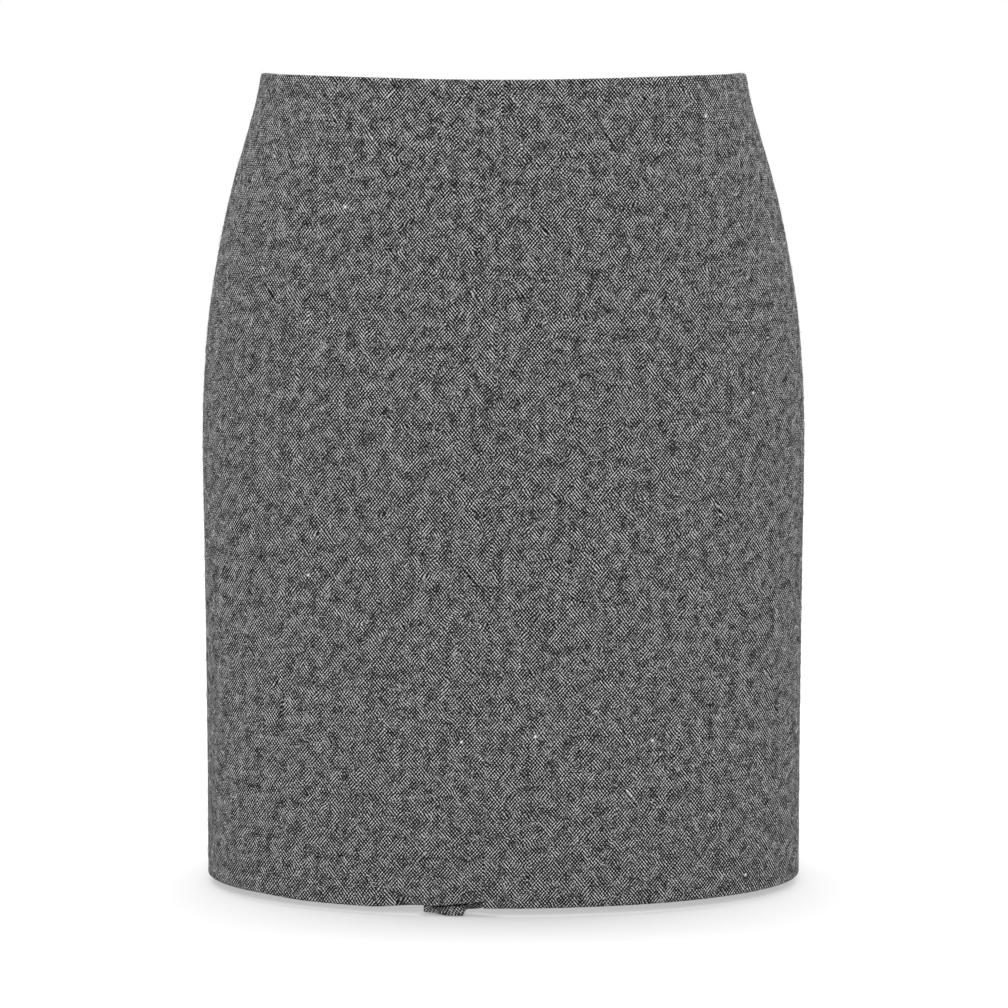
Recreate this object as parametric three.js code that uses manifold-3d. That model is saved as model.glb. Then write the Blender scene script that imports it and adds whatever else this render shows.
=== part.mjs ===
// A straight pencil skirt in wool tweed, kept in its worn shape and open at the waist and the hem.
// Millimetres, +Z up. The front faces -Y and the wearer's left is +X.
// The origin is the middle of the waist, level with the waist edge at the side seams.

import * as THREE from 'three';
import { mergeVertices } from 'three/addons/utils/BufferGeometryUtils.js';
import Module from 'manifold-3d';

// Driving sizes of the cloth
const LENGTH = 496.7;
const CLOTH = 2.0;
const SEAM_GAP = 0.3;
const TURNED_TOP = { depth: 12, wall: 3.0 };
const TURNED_HEM = { depth: 40, wall: 3.2 };
const COLUMNS_PER_PANEL = 18;
const STEP_AT_TURNING = 1;
const PLAIN_ROWS = [26, 40, 65, 90, 115, 140, 165, 200, 235, 270, 310, 350, 390, 425];

// Level rings of the skirt: how far below the waist, and the half ellipses of front and back there
const SECTIONS = [
  { drop: 0, halfWidth: 147.6, frontDepth: 92.0, backDepth: 107.0 },
  { drop: 16, halfWidth: 150.6, frontDepth: 93.0, backDepth: 109.0 },
  { drop: 40, halfWidth: 157.4, frontDepth: 95.0, backDepth: 112.5 },
  { drop: 65, halfWidth: 164.8, frontDepth: 96.5, backDepth: 116.5 },
  { drop: 90, halfWidth: 170.9, frontDepth: 97.5, backDepth: 120.0 },
  { drop: 115, halfWidth: 175.8, frontDepth: 98.5, backDepth: 122.5 },
  { drop: 140, halfWidth: 179.9, frontDepth: 99.0, backDepth: 124.0 },
  { drop: 165, halfWidth: 182.6, frontDepth: 99.0, backDepth: 124.5 },
  { drop: 200, halfWidth: 184.8, frontDepth: 99.0, backDepth: 124.0 },
  { drop: 235, halfWidth: 185.4, frontDepth: 99.5, backDepth: 122.5 },
  { drop: 290, halfWidth: 185.0, frontDepth: 100.0, backDepth: 120.0 },
  { drop: 350, halfWidth: 184.6, frontDepth: 100.5, backDepth: 118.5 },
  { drop: 420, halfWidth: 184.4, frontDepth: 101.0, backDepth: 118.0 },
  { drop: LENGTH, halfWidth: 184.6, frontDepth: 102.0, backDepth: 118.5 },
];

// Rounded edge of the folded cloth: distance from the edge, and how far each face is moved in there
const FOLDED_EDGE = [
  { fromEdge: 0, faceInset: 1.2 },
  { fromEdge: 0.5, faceInset: 0.55 },
  { fromEdge: 1.5, faceInset: 0.12 },
  { fromEdge: 3.0, faceInset: 0 },
];

// The waist edge dips a little at the centre front and more at the centre back
const WAIST_DIP = { front: 2.3, back: 12, fadesOver: 150 };

// Centre front seam, which drifts sideways as the skirt hangs, and the vent below it
const FRONT_SEAM_DRIFT = -12.6;
const VENT = {
  height: 150,
  underlapTo: -4,
  wall: 1.2,
  inset: 3.5,
  liftFadesOver: 90,
};
const CORNER_LIFT = { start: -42, end: -13, height: 2.6 };
const EDGE_LIFT = { start: -78, end: -52, height: 1.3 };

// Columns of the vent underlap: place, how far its lower end hangs below the hem, how far its bend is
// raised, and how deep behind the outer face its recess and its lip lie
const UNDERLAP_COLUMNS = [
  { x: -47.5, hangs: 2.4, raised: 0, recess: 8.0, lip: 4.4 },
  { x: -46.0, hangs: 2.8, raised: 0, recess: 8.0, lip: 4.4 },
  { x: -43.0, hangs: 3.3, raised: 0, recess: 8.6, lip: 3.9 },
  { x: -40.0, hangs: 3.8, raised: 0, recess: 9.0, lip: 3.4 },
  { x: -37.0, hangs: 4.3, raised: 0, recess: 9.3, lip: 2.9 },
  { x: -35.0, hangs: 4.6, raised: 0, recess: 9.3, lip: 2.1 },
  { x: -32.0, hangs: 4.7, raised: 0, recess: 9.3, lip: 1.9 },
  { x: -28.0, hangs: 4.7, raised: 0, recess: 9.3, lip: 1.9 },
  { x: -24.6, hangs: 4.6, raised: 0.2, recess: 9.3, lip: 1.9 },
  { x: -22.9, hangs: 0.8, raised: 1.0, recess: 9.3, lip: 1.9 },
  { x: -21.0, hangs: 0.3, raised: 1.3, recess: 9.3, lip: 2.0 },
  { x: -18.0, hangs: 0.2, raised: 1.3, recess: 9.0, lip: 2.2 },
  { x: -15.8, hangs: 0.2, raised: 1.3, recess: 8.6, lip: 2.6 },
  { x: -14.0, hangs: 0.1, raised: 1.3, recess: 8.0, lip: 3.2 },
  { x: -13.0, hangs: 0.0, raised: 1.3, recess: 7.2, lip: 4.4 },
  { x: -9.0, hangs: -1.0, raised: 1.3, recess: 5.5, lip: 5.5 },
  { x: VENT.underlapTo, hangs: -1.0, raised: 1.3, recess: 5.5, lip: 5.5 },
];

// Rows of the underlap: shares of its plain length, then heights above the hem in its bend with the
// shares of the way back to the recess and out to the lip, then shares of the lip's own length
const UNDERLAP_PLAIN = [0, 0.35, 0.7, 0.9];
const UNDERLAP_BEND = [
  { above: 14, back: 0, out: 0 },
  { above: 10, back: 0.35, out: 0 },
  { above: 6.5, back: 0.82, out: 0 },
  { above: 3.5, back: 1, out: 0 },
  { above: 1.9, back: 1, out: 0.1 },
  { above: 1.15, back: 1, out: 0.38 },
  { above: 0.75, back: 1, out: 0.72 },
  { above: 0.4, back: 1, out: 0.95 },
];
const UNDERLAP_LIP = [0.75, 1];

// Concealed zip in the centre back seam
const ZIP = {
  tapeTop: 3,
  tapeBottom: 195,
  tapeWall: 0.8,
  tapeFrom: 0.9,
  tapeTo: 13,
  tapeColumns: 3,
  notchHalfWidth: 1.3,
  notchDepth: 13,
  sliderDrop: 8.5,
  sliderLength: 9,
};
const SLIDER = {
  outerHalfWidth: 2.2,
  outerFrom: 0.4,
  outerTo: 1.6,
  webHalfWidth: 0.5,
  innerHalfWidth: 4.2,
  innerFrom: -4.4,
  innerTo: -6.2,
};
const BRIDGE = {
  width: 1.6,
  half: 3.6,
  foot: 1.2,
  shoulder: 3.6,
  top: 4.5,
  slope: 0.8,
  opening: { lower: 2.5, upper: 2.7, ceiling: 3.6, chamfer: 0.35 },
};
const PULL = {
  pivotOut: 2.6,
  pivotDown: 1.7,
  thickness: 1.0,
  neckHalfWidth: 2.4,
  slotHalfWidth: 1.1,
  slotEnd: 6.4,
  barHalf: 0.5,
  neckEnd: 8,
  bodyHalfWidth: 3.3,
  bodyEnd: 20,
};

const TWEED = { color: 0x6c6c6d, roughness: 0.95, metalness: 0 };
const TAPE = { color: 0x2c2c2e, roughness: 0.9, metalness: 0 };
const METAL = { color: 0x77787b, roughness: 0.4, metalness: 0.9 };

// Sizes between the rings of the table run on a smooth curve through its rows
function slopeAt(column, row) {
  const before = SECTIONS[Math.max(row - 1, 0)];
  const after = SECTIONS[Math.min(row + 1, SECTIONS.length - 1)];
  return (after[column] - before[column]) / (after.drop - before.drop);
}

function sizeAt(drop, column) {
  const inside = THREE.MathUtils.clamp(drop, 0, LENGTH);
  let row = 0;
  while (row < SECTIONS.length - 2 && SECTIONS[row + 1].drop < inside) {
    row += 1;
  }
  const low = SECTIONS[row];
  const high = SECTIONS[row + 1];
  const span = high.drop - low.drop;
  const t = (inside - low.drop) / span;
  const t2 = t * t;
  const t3 = t2 * t;
  return (
    (2 * t3 - 3 * t2 + 1) * low[column]
    + (t3 - 2 * t2 + t) * span * slopeAt(column, row)
    + (3 * t2 - 2 * t3) * high[column]
    + (t3 - t2) * span * slopeAt(column, row + 1)
  );
}

function depthAt(angle, drop) {
  return sizeAt(drop, Math.cos(angle) > 0 ? 'frontDepth' : 'backDepth');
}

// Millimetres along the ring for each radian of the angle, which is 0 at the centre front
function arcSpeed(angle, drop) {
  const across = sizeAt(drop, 'halfWidth') * Math.cos(angle);
  const along = depthAt(angle, drop) * Math.sin(angle);
  return Math.hypot(across, along);
}

function waistDip(angle) {
  const facing = Math.cos(angle);
  return facing > 0 ? WAIST_DIP.front * facing ** 4 : WAIST_DIP.back * facing ** 2;
}

function ventLift(x, drop) {
  const edge = EDGE_LIFT.height * THREE.MathUtils.smoothstep(x, EDGE_LIFT.start, EDGE_LIFT.end);
  const corner = CORNER_LIFT.height * THREE.MathUtils.smoothstep(x, CORNER_LIFT.start, CORNER_LIFT.end);
  const fade = Math.max(0, 1 - (LENGTH - drop) / VENT.liftFadesOver);
  return (edge + corner) * fade ** 2;
}

// A point of the cloth, moved in from the outer face by inset
function clothPoint(angle, drop, inset, lifted = false) {
  const halfWidth = sizeAt(drop, 'halfWidth');
  const depth = depthAt(angle, drop);
  const x = halfWidth * Math.sin(angle);
  const y = -depth * Math.cos(angle);
  const outward = new THREE.Vector2(Math.sin(angle) / halfWidth, -Math.cos(angle) / depth).normalize();
  const fade = Math.max(0, 1 - drop / WAIST_DIP.fadesOver) ** 2;
  const z = -drop - waistDip(angle) * fade + (lifted ? ventLift(x, drop) : 0);
  return new THREE.Vector3(x - outward.x * inset, y - outward.y * inset, z);
}

function angleAtX(x, drop) {
  return Math.asin(x / sizeAt(drop, 'halfWidth'));
}

// Each seam gives its angle at a drop, and half the space between the two panels there
const SEAMS = {
  rightSide: { angle: () => -Math.PI / 2, halfGap: () => SEAM_GAP / 2 },
  leftSide: { angle: () => Math.PI / 2, halfGap: () => SEAM_GAP / 2 },
  front: {
    angle: (drop) => angleAtX((FRONT_SEAM_DRIFT * drop) / LENGTH, drop),
    halfGap: () => SEAM_GAP / 2,
  },
  backFromRight: { angle: () => -Math.PI, halfGap: backHalfGap },
  backFromLeft: { angle: () => Math.PI, halfGap: backHalfGap },
};

function backHalfGap(drop) {
  return drop <= ZIP.notchDepth ? ZIP.notchHalfWidth : SEAM_GAP / 2;
}

// Rows of a panel from waist to hem: the rounded fold, the turned edges and the plain cloth between
function panelRows() {
  const rows = [];
  for (const edge of FOLDED_EDGE) {
    rows.push({ drop: edge.fromEdge, outer: edge.faceInset, inner: TURNED_TOP.wall - edge.faceInset });
  }
  rows.push({ drop: TURNED_TOP.depth, outer: 0, inner: TURNED_TOP.wall });
  rows.push({ drop: TURNED_TOP.depth + STEP_AT_TURNING, outer: 0, inner: CLOTH });
  for (const drop of PLAIN_ROWS) {
    rows.push({ drop, outer: 0, inner: CLOTH });
  }
  rows.push({ drop: LENGTH - TURNED_HEM.depth - STEP_AT_TURNING, outer: 0, inner: CLOTH });
  rows.push({ drop: LENGTH - TURNED_HEM.depth, outer: 0, inner: TURNED_HEM.wall });
  for (const edge of [...FOLDED_EDGE].reverse()) {
    rows.push({
      drop: LENGTH - edge.fromEdge,
      outer: edge.faceInset,
      inner: TURNED_HEM.wall - edge.faceInset,
    });
  }
  return rows;
}

// The loop round a grid, downwards first, so that the outer face lies on its left
function borderOf(rowCount, columnCount) {
  const border = [];
  for (let r = 0; r < rowCount - 1; r += 1) {
    border.push([r, 0]);
  }
  for (let c = 0; c < columnCount - 1; c += 1) {
    border.push([rowCount - 1, c]);
  }
  for (let r = rowCount - 1; r > 0; r -= 1) {
    border.push([r, columnCount - 1]);
  }
  for (let c = columnCount - 1; c > 0; c -= 1) {
    border.push([0, c]);
  }
  return border;
}

// A closed wall from an outer and an inner grid of points, joined round its border
function wallGeometry(outer, inner) {
  const rowCount = outer.length;
  const columnCount = outer[0].length;
  const positions = [...outer.flat(), ...inner.flat()].flatMap((point) => point.toArray());
  const innerStart = rowCount * columnCount;
  const at = (r, c) => r * columnCount + c;
  const index = [];
  for (let r = 0; r < rowCount - 1; r += 1) {
    for (let c = 0; c < columnCount - 1; c += 1) {
      const corners = [at(r, c), at(r + 1, c), at(r + 1, c + 1), at(r, c + 1)];
      const [a, b, d, e] = corners;
      index.push(a, b, d, a, d, e);
      const [i, j, k, l] = corners.map((corner) => corner + innerStart);
      index.push(i, k, j, i, l, k);
    }
  }
  const border = borderOf(rowCount, columnCount);
  border.forEach(([r, c], step) => {
    const [nextRow, nextColumn] = border[(step + 1) % border.length];
    const here = at(r, c);
    const next = at(nextRow, nextColumn);
    index.push(next, here, here + innerStart);
    index.push(next, here + innerStart, next + innerStart);
  });
  const geometry = new THREE.BufferGeometry();
  geometry.setAttribute('position', new THREE.Float32BufferAttribute(positions, 3));
  geometry.setIndex(index);
  geometry.computeVertexNormals();
  return geometry;
}

function namedMesh(name, geometry, finish) {
  const mesh = new THREE.Mesh(geometry, new THREE.MeshStandardMaterial(finish));
  mesh.name = name;
  return mesh;
}

// A panel runs round the skirt from one seam to the next, its columns evenly spaced in angle
function panel(name, fromSeam, toSeam, lifted = false) {
  const grid = (face) => panelRows().map((row) => {
    const from = fromSeam.angle(row.drop);
    const to = toSeam.angle(row.drop);
    const start = from + fromSeam.halfGap(row.drop) / arcSpeed(from, row.drop);
    const end = to - toSeam.halfGap(row.drop) / arcSpeed(to, row.drop);
    const points = [];
    for (let c = 0; c <= COLUMNS_PER_PANEL; c += 1) {
      const angle = start + ((end - start) * c) / COLUMNS_PER_PANEL;
      points.push(clothPoint(angle, row.drop, row[face], lifted));
    }
    return points;
  });
  return namedMesh(name, wallGeometry(grid('outer'), grid('inner')), TWEED);
}

// One underlap column from the top: plain down the vent, back to the recess, and out again as a lip
function underlapColumn(column) {
  const { lerp } = THREE.MathUtils;
  const top = LENGTH - VENT.height;
  const bendTop = LENGTH - UNDERLAP_BEND[0].above - column.raised;
  const lipTop = LENGTH - UNDERLAP_BEND.at(-1).above - column.raised;
  const rows = UNDERLAP_PLAIN.map((share) => new THREE.Vector2(VENT.inset, lerp(top, bendTop, share)));
  for (const bend of UNDERLAP_BEND) {
    const inset = lerp(lerp(VENT.inset, column.recess, bend.back), column.lip, bend.out);
    rows.push(new THREE.Vector2(inset, LENGTH - bend.above - column.raised));
  }
  for (const share of UNDERLAP_LIP) {
    rows.push(new THREE.Vector2(column.lip, lerp(lipTop, LENGTH + column.hangs, share)));
  }
  return rows;
}

// The same column moved inwards by the wall, square to each of its lines of inset and drop
function movedInwards(rows, wall) {
  const inwards = rows.slice(1).map((row, r) => {
    const ahead = row.clone().sub(rows[r]).normalize();
    return new THREE.Vector2(ahead.y, -ahead.x);
  });
  return rows.map((row, r) => {
    const above = inwards[Math.max(r - 1, 0)];
    const below = inwards[Math.min(r, inwards.length - 1)];
    const mitre = above.clone().add(below).divideScalar(1 + above.dot(below));
    return row.clone().addScaledVector(mitre, wall);
  });
}

function ventUnderlap() {
  const grid = (wall) => {
    const columns = UNDERLAP_COLUMNS.map((column) => movedInwards(underlapColumn(column), wall));
    return columns[0].map((_, r) => UNDERLAP_COLUMNS.map((column, c) => {
      const { x: inset, y: drop } = columns[c][r];
      return clothPoint(angleAtX(column.x, drop), drop, inset);
    }));
  };
  return namedMesh('vent_underlap', wallGeometry(grid(0), grid(VENT.wall)), TWEED);
}

// A zip tape lies 0.3 mm inside a back panel, along the centre back
function zipTape(name, side) {
  const rows = panelRows().filter((row) => row.drop >= ZIP.tapeTop && row.drop < ZIP.tapeBottom);
  rows.push({ drop: ZIP.tapeBottom, outer: 0, inner: CLOTH });
  const grid = (wall) => rows.map((row) => {
    const points = [];
    for (let c = 0; c <= ZIP.tapeColumns; c += 1) {
      const away = ZIP.tapeFrom + ((ZIP.tapeTo - ZIP.tapeFrom) * c) / ZIP.tapeColumns;
      const angle = side * (Math.PI - angleAtX(away, row.drop));
      points.push(clothPoint(angle, row.drop, row.inner + SEAM_GAP + wall));
    }
    return side > 0 ? points.reverse() : points;
  });
  return namedMesh(name, wallGeometry(grid(0), grid(ZIP.tapeWall)), TAPE);
}

const wasm = await Module();
wasm.setup();

function toSolid(geometry) {
  const bare = geometry.clone();
  bare.deleteAttribute('normal');
  bare.deleteAttribute('uv');
  const merged = mergeVertices(bare);
  return new wasm.Manifold(new wasm.Mesh({
    numProp: 3,
    vertProperties: merged.attributes.position.array,
    triVerts: new Uint32Array(merged.index.array),
  }));
}

function joined(first, second) {
  const mesh = toSolid(first).add(toSolid(second)).getMesh();
  const geometry = new THREE.BufferGeometry();
  geometry.setAttribute('position', new THREE.BufferAttribute(mesh.vertProperties, 3));
  geometry.setIndex(new THREE.BufferAttribute(mesh.triVerts, 1));
  geometry.computeVertexNormals();
  return geometry;
}

function prism(shape, length) {
  const geometry = new THREE.ExtrudeGeometry(shape, { depth: length, bevelEnabled: false, curveSegments: 8 });
  return geometry.translate(0, 0, -length / 2);
}

// The slider is an I in section: a plate outside the cloth, a web between the edges, a plate inside
function sliderBody() {
  const s = SLIDER;
  const half = [
    [s.outerHalfWidth, s.outerTo],
    [s.outerHalfWidth, s.outerFrom],
    [s.webHalfWidth, s.outerFrom],
    [s.webHalfWidth, s.innerFrom],
    [s.innerHalfWidth, s.innerFrom],
    [s.innerHalfWidth, s.innerTo],
  ];
  const mirrored = [...half].reverse().map(([x, y]) => [-x, y]);
  const outline = [...half, ...mirrored].map(([x, y]) => new THREE.Vector2(x, y));
  return prism(new THREE.Shape(outline), ZIP.sliderLength);
}

// The bridge is a staple that stands on the outer plate and holds the pull's bar
function sliderBridge() {
  const b = BRIDGE;
  const { lower, upper, ceiling, chamfer } = b.opening;
  const outline = [
    [-b.half, b.foot],
    [-b.half, b.shoulder],
    [-b.half + b.slope, b.top],
    [b.half - b.slope, b.top],
    [b.half, b.shoulder],
    [b.half, b.foot],
    [lower, b.foot],
    [lower, ceiling - chamfer],
    [lower - chamfer, ceiling],
    [-upper + chamfer, ceiling],
    [-upper, ceiling - chamfer],
    [-upper, b.foot],
  ].map(([down, out]) => new THREE.Vector2(down, out));
  return prism(new THREE.Shape(outline), b.width).rotateY(Math.PI / 2);
}

// The pull is a flat drop that hangs by the bar across the top of its slot
function pullTab() {
  const p = PULL;
  const outline = new THREE.Shape();
  outline.moveTo(p.neckHalfWidth, p.barHalf);
  outline.lineTo(-p.neckHalfWidth, p.barHalf);
  outline.lineTo(-p.neckHalfWidth, -p.neckEnd);
  outline.lineTo(-p.bodyHalfWidth, -p.bodyEnd);
  outline.absarc(0, -p.bodyEnd, p.bodyHalfWidth, Math.PI, 2 * Math.PI, false);
  outline.lineTo(p.neckHalfWidth, -p.neckEnd);
  outline.closePath();
  const slot = new THREE.Path();
  slot.moveTo(p.slotHalfWidth, -p.barHalf);
  slot.lineTo(p.slotHalfWidth, -p.slotEnd);
  slot.lineTo(-p.slotHalfWidth, -p.slotEnd);
  slot.lineTo(-p.slotHalfWidth, -p.barHalf);
  slot.closePath();
  outline.holes.push(slot);
  return prism(outline, p.thickness).rotateX(Math.PI / 2);
}

// Slider and pull sit on the centre back, turned to the slope of the cloth there
function zipHardware() {
  const above = clothPoint(Math.PI, ZIP.sliderDrop - ZIP.sliderLength / 2, 0);
  const below = clothPoint(Math.PI, ZIP.sliderDrop + ZIP.sliderLength / 2, 0);
  const group = new THREE.Group();
  group.position.copy(above).add(below).multiplyScalar(0.5);
  group.rotation.x = Math.atan2(below.y - above.y, above.z - below.z);
  group.add(namedMesh('zip_slider', joined(sliderBody(), sliderBridge()), METAL));
  const tab = namedMesh('zip_pull_tab', pullTab(), METAL);
  tab.position.set(0, PULL.pivotOut, -PULL.pivotDown);
  group.add(tab);
  return group;
}

const skirt = new THREE.Group();
skirt.add(panel('right_front_panel', SEAMS.rightSide, SEAMS.front, true));
skirt.add(panel('left_front_panel', SEAMS.front, SEAMS.leftSide));
skirt.add(panel('left_back_panel', SEAMS.leftSide, SEAMS.backFromLeft));
skirt.add(panel('right_back_panel', SEAMS.backFromRight, SEAMS.rightSide));
skirt.add(ventUnderlap());
skirt.add(zipTape('left_zip_tape', 1));
skirt.add(zipTape('right_zip_tape', -1));
skirt.add(zipHardware());

export default skirt;
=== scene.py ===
# %% [markdown]
# # A tweed pencil skirt
#
# A straight skirt in salt-and-pepper wool tweed stands open at the waist and the hem, in the
# shape that it has when it is worn. The part that was packed before gives its frame and its
# sizes. Here each piece of cloth becomes a thin sheet with real turnings at the waist and the
# hem, and gets its weave, and the small zip in the back seam gets its tapes, coil and enamel.
#
# Sizes are in millimetres, as a cutter would write them, and become metres when a mesh is made.

import math

import bpy
import mathutils
import numpy as np
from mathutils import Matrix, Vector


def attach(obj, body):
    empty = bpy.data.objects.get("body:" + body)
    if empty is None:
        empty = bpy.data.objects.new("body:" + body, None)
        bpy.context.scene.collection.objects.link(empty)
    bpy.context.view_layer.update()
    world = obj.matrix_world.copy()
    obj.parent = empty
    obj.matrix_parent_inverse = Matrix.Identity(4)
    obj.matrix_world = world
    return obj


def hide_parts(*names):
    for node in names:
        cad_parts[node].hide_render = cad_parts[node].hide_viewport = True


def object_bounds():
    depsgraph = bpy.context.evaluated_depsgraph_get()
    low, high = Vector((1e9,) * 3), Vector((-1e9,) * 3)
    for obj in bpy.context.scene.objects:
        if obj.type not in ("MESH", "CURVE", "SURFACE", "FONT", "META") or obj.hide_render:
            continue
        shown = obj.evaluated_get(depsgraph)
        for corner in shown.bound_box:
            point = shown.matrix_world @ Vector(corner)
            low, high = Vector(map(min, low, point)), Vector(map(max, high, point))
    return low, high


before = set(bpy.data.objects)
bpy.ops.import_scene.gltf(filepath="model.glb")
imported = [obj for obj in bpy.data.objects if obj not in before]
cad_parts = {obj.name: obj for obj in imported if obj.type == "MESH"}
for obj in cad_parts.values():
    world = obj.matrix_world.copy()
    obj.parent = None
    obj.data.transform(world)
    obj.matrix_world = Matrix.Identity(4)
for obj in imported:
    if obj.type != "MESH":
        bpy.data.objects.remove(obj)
cad_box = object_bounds()
MM = 0.001
print("pieces in the frame:", sorted(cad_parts))

# %% [markdown]
# ## The rings of the skirt
#
# A skirt on a body is a stack of level rings, each flatter in front than behind. One could model
# it by hand with a lattice, but a table of measured half widths and depths is how a pattern
# cutter thinks of it. Each ring is two half ellipses, and the sizes between two rings run on a
# smooth curve, so the hip swells with no ridge.

# %% Rings
RINGS = {
    "drop": [0, 16, 40, 65, 90, 115, 140, 165, 200, 235, 290, 350, 420, 496.7],
    "half_width": [
        147.6, 150.6, 157.4, 164.8, 170.9, 175.8, 179.9,
        182.6, 184.8, 185.4, 185.0, 184.6, 184.4, 184.6,
    ],
    "front_depth": [92, 93, 95, 96.5, 97.5, 98.5, 99, 99, 99, 99.5, 100, 100.5, 101, 102],
    "back_depth": [
        107, 109, 112.5, 116.5, 120, 122.5, 124,
        124.5, 124, 122.5, 120, 118.5, 118, 118.5,
    ],
}
RINGS = {name: np.array(values, float) for name, values in RINGS.items()}
LENGTH = RINGS["drop"][-1]
WAIST_DIP = {"front": 2.3, "back": 12.0, "fades_over": 150.0}


def smooth_through(x, knots, values):
    """A cubic between each two knots. Its slope at a knot is that of the line from the knot
    before to the knot after, so neighbouring cubics meet smoothly."""
    x = np.clip(x, knots[0], knots[-1])
    last = len(knots) - 1
    before = np.maximum(np.arange(last + 1) - 1, 0)
    after = np.minimum(np.arange(last + 1) + 1, last)
    slope = (values[after] - values[before]) / (knots[after] - knots[before])
    low = np.clip(np.searchsorted(knots, x) - 1, 0, last - 1)
    span = knots[low + 1] - knots[low]
    t = (x - knots[low]) / span
    return (
        (2 * t**3 - 3 * t**2 + 1) * values[low]
        + (t**3 - 2 * t**2 + t) * span * slope[low]
        + (3 * t**2 - 2 * t**3) * values[low + 1]
        + (t**3 - t**2) * span * slope[low + 1]
    )


def size_at(drop, column):
    """One of the ring sizes at any drop below the waist."""
    return smooth_through(drop, RINGS["drop"], RINGS[column])


def smooth_step(x, start, end):
    """0 before start, 1 after end, and 3t^2 - 2t^3 between them."""
    t = np.clip((x - start) / (end - start), 0, 1)
    return t * t * (3 - 2 * t)


print("length", LENGTH, "mm, widest half width", RINGS["half_width"].max(), "mm")

# %% [markdown]
# ## Where the cloth lies
#
# The real skirt isn't a perfect tube: the waist edge dips a little in front and behind, the cloth
# has a few broad shallow hollows where it hangs between hip and hem, and the right front's hem
# sags a little beside the vent and lifts over it. These are small sums added to the ring surface.
# Cloth simulation would find such forms by itself, but only by chance in the right places, so
# they are placed one by one.

# %% Cloth surface
# Hollows and swells of the hanging cloth: middle (round the ring from the centre front, and
# down), half sizes, lean towards the wearer's left for each step down, and height outwards
SOFT_FORMS = [
    {"around": -105, "down": 335, "wide": 16, "tall": 75, "lean": 0.10, "height": -0.9},
    {"around": -98, "down": 430, "wide": 15, "tall": 42, "lean": -0.15, "height": -0.7},
    {"around": 124, "down": 320, "wide": 17, "tall": 80, "lean": -0.12, "height": -0.9},
    {"around": 128, "down": 385, "wide": 14, "tall": 45, "lean": 0.2, "height": -0.6},
    {"around": 20, "down": 400, "wide": 22, "tall": 40, "lean": 0.3, "height": -0.5},
    {"around": 48, "down": 460, "wide": 20, "tall": 30, "lean": 0.0, "height": -0.5},
    {"around": -40, "down": 250, "wide": 30, "tall": 60, "lean": 0.2, "height": 0.5},
    {"around": -330, "down": 70, "wide": 10, "tall": 60, "lean": 0.05, "height": -0.9},
    {"around": 330, "down": 70, "wide": 10, "tall": 60, "lean": -0.05, "height": -0.9},
    {"around": -400, "down": 360, "wide": 24, "tall": 90, "lean": 0.1, "height": -1.0},
    {"around": 395, "down": 380, "wide": 26, "tall": 85, "lean": -0.1, "height": -1.0},
]
# Millimetres round the ring that one radian counts as in these places
FORM_RADIUS = 150.0
VENT_LIFT = {
    "fades_over": 90.0,
    "sag": {"start": -150, "end": -118, "height": -1.0},
    "edge": {"start": -82, "end": -52, "height": 2.3},
    "corner": {"start": -42, "end": -13, "height": 2.6},
}


def soft_form(around, down):
    """The sum of the soft forms: each is a bell of height exp(-a^2 - b^2), where a and b are
    the distances from its leaning middle line in half sizes."""
    total = np.zeros(np.broadcast(around, down).shape)
    for form in SOFT_FORMS:
        sideways = around - form["around"] - form["lean"] * (down - form["down"])
        lengthways = (down - form["down"]) / form["tall"]
        total = total + form["height"] * np.exp(-((sideways / form["wide"]) ** 2) - lengthways**2)
    return total


def vent_lift(x, drop):
    """How far the right front's hem sags beside the vent and lifts over it: smooth steps along
    x, times the square of a share that falls from 1 at the hem to 0 further up."""
    total = 0
    for name in ("sag", "edge", "corner"):
        lift = VENT_LIFT[name]
        total = total + lift["height"] * smooth_step(x, lift["start"], lift["end"])
    return total * np.maximum(0, 1 - (LENGTH - drop) / VENT_LIFT["fades_over"]) ** 2


def cloth_point(angle, drop, inset, lifted=False):
    """The point x = w sin, y = -d cos on the ring at that drop, moved along the ring's normal by
    the soft form and in by inset. The angle is 0 at the centre front, positive to the left.
    The waist edge dips by a power of cos, less and less further down."""
    angle, drop, inset = np.broadcast_arrays(*(np.asarray(v, float) for v in (angle, drop, inset)))
    in_front = np.cos(angle) > 0
    width = size_at(drop, "half_width")
    depth = np.where(in_front, size_at(drop, "front_depth"), size_at(drop, "back_depth"))
    x = width * np.sin(angle)
    y = -depth * np.cos(angle)
    normal = np.stack([np.sin(angle) / width, -np.cos(angle) / depth])
    normal = normal / np.linalg.norm(normal, axis=0)
    facing = np.abs(np.cos(angle))
    dip = np.where(in_front, WAIST_DIP["front"] * facing**4, WAIST_DIP["back"] * facing**2)
    fade = np.maximum(0, 1 - drop / WAIST_DIP["fades_over"]) ** 2
    lift = vent_lift(x, drop) if lifted else 0
    out = soft_form(angle * FORM_RADIUS, np.clip(drop, 0, LENGTH)) - inset
    return np.stack([x + normal[0] * out, y + normal[1] * out, lift - drop - dip * fade], axis=-1)


def angle_at(x, drop):
    """The angle in front at which the ring passes x."""
    return np.arcsin(x / size_at(drop, "half_width"))


print("hem corner at", cloth_point(math.pi / 2, LENGTH, 0).round(1))

# %% [markdown]
# ## One sheet, turned in at both ends
#
# A panel is cut 52 mm longer than it hangs: 12 mm are turned in at the waist and 40 mm at the
# hem. Seen from the edge, the cloth is one strip that goes up inside, folds over the waist, runs
# down outside and folds back up inside the hem. So a single profile, its two faces 1.4 mm apart,
# carried round the ring gives folded edges, turnings and thickness at once. Solidify couldn't do
# this, because the two layers of a turning lie against each other.

# %% Profile of a panel
CLOTH = 1.4
TURNINGS = {"waist": {"depth": 12.0, "wall": 3.0}, "hem": {"depth": 40.0, "wall": 3.2}}
FOLD_STEPS = 7
ROW_STEP = 5.0
TURNING_ROWS = {"waist": 5, "hem": 10}


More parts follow.
